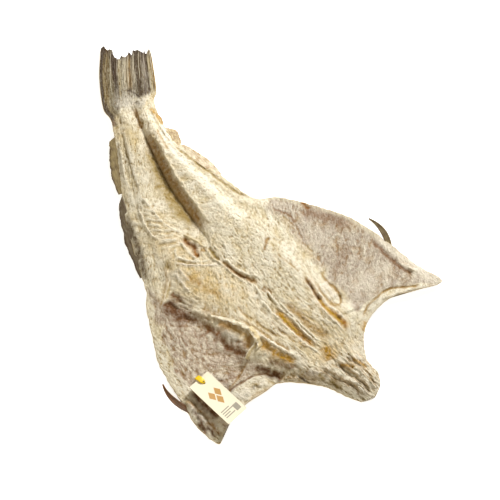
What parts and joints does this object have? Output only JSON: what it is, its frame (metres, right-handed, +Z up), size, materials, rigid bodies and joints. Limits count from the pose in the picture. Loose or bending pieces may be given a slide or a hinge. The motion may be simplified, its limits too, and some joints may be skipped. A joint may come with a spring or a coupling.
{
  "type": "salted dried cod",
  "caption": "Whole headless cod split open, salted and dried flat, flesh side up, with broken tail fin, fin remains, thin belly flaps and a small blank-print card tag on a plastic strap.",
  "frame": {"origin": "on the floor under the middle of the part's bounding box, which lies under the fish's back, a little to the right of its spine", "axes": "+Y along the fish towards the tail, +X towards its right flap, +Z up out of the cut flesh side"},
  "size_m": [0.4553, 0.7283, 0.035],
  "materials": {
    "dried_flesh": "dry, matt to faintly waxy, salted",
    "card": "smooth uncoated card",
    "strap_plastic": "moulded, slightly glossy"
  },
  "bodies": {
    "root": {"split_cod": "dried_flesh", "paper_tag": "card", "tag_strap": "strap_plastic"}
  },
  "joints": []
}
